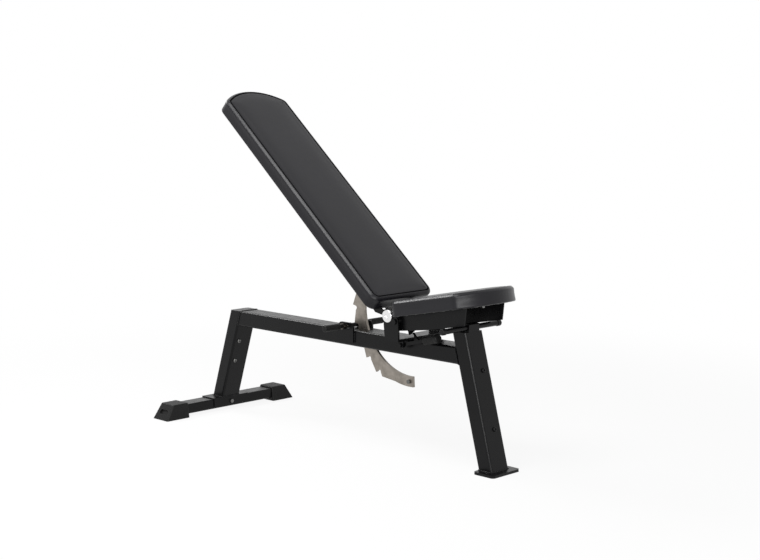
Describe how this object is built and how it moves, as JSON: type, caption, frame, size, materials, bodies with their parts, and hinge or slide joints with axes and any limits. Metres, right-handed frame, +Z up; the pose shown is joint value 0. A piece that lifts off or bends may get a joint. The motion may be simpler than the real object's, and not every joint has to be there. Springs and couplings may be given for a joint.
{
  "type": "adjustable weight bench",
  "caption": "Weight bench on a tube frame with a padded backrest that a toothed rack and sliding latch rod hold at steps from flat to upright, and a tilting padded seat.",
  "frame": {"origin": "on the floor under the middle of the bench's box", "axes": "+X towards the seat end, +Y to the left of someone who sits on it, +Z up"},
  "size_m": [1.2926, 0.548, 1.0728],
  "materials": {
    "frame_black": "matt black powder coat with a fine texture",
    "vinyl_black": "black grained vinyl with a low sheen",
    "board_ply": "black-stained plywood",
    "bolt_black": "black oxide",
    "zinc_bolts": "bright zinc plate",
    "rack_nickel": "satin nickel plate",
    "cap_chrome": "polished chrome",
    "spring_steel": "oiled spring steel",
    "rubber_black": "black moulded rubber",
    "plastic_black": "black moulded plastic"
  },
  "bodies": {
    "frame": {"front_post": "frame_black", "post_screws": "bolt_black", "post_cap": "frame_black", "front_foot_pad": "rubber_black", "front_base_plate": "frame_black", "main_beam": "frame_black", "rear_leg": "frame_black", "leg_screws": "zinc_bolts", "rear_leg_cap": "frame_black", "rear_stabiliser": "frame_black", "rear_saddle": "frame_black", "saddle_bolt": "zinc_bolts", "foot_cap_left": "rubber_black", "foot_cap_right": "rubber_black", "hinge_saddle_base": "frame_black", "hinge_ear_left": "frame_black", "hinge_ear_right": "frame_black", "axle_cap_left": "cap_chrome", "axle_cap_right": "cap_chrome", "seat_pivot_bolts": "bolt_black", "seat_pivot_spacers": "zinc_bolts", "seat_pivot_nuts": "zinc_bolts", "hinge_axle": "zinc_bolts", "seat_rest_bar": "frame_black", "rest_bar_block": "frame_black", "rest_bar_plugs": "plastic_black", "latch_ear_left": "frame_black", "latch_ear_right": "frame_black", "lever_lug": "frame_black", "lever_pivot_bolt": "bolt_black"},
    "backrest": {"back_pad": "vinyl_black", "back_lower_plate": "frame_black", "back_upper_plate": "frame_black", "back_board": "board_ply", "back_bolts": "zinc_bolts", "back_tube": "frame_black", "back_tube_plugs": "plastic_black", "hinge_arm_left": "frame_black", "hinge_arm_right": "frame_black", "hinge_sleeve": "frame_black", "toothed_rack": "rack_nickel", "rack_stop_bolt": "zinc_bolts"},
    "latch": {"latch_rod": "frame_black", "latch_grip_left": "rubber_black", "latch_grip_right": "rubber_black", "latch_collars": "spring_steel", "latch_springs": "spring_steel"},
    "seat": {"seat_pad": "vinyl_black", "seat_rear_cross": "frame_black", "seat_front_cross": "frame_black", "seat_board": "board_ply", "seat_bolts": "zinc_bolts", "seat_plate_left": "frame_black", "seat_plate_right": "frame_black", "seat_sector": "frame_black"},
    "lever": {"seat_lever": "frame_black", "lever_grip": "rubber_black"}
  },
  "joints": [
    {"name": "back_hinge", "type": "hinge", "parent": "frame", "child": "backrest", "pos_m": [0.27269, 0, 0.423], "axis": [0, 1, 0], "range_deg": [-40.5, 40.5]},
    {"name": "latch_slide", "type": "slide", "parent": "frame", "child": "latch", "axis": [1, 0, 0], "range_m": [0, 0.02], "stiffness_N_per_m": 600, "springref_m": 0.025},
    {"name": "seat_tilt", "type": "hinge", "parent": "frame", "child": "seat", "pos_m": [0.29869, 0, 0.409], "axis": [0, -1, 0], "range_deg": [0, 15]},
    {"name": "seat_lever_pivot", "type": "hinge", "parent": "frame", "child": "lever", "pos_m": [0.28669, -0.052, 0.334], "axis": [0, -1, 0], "range_deg": [-15, 5]}
  ]
}
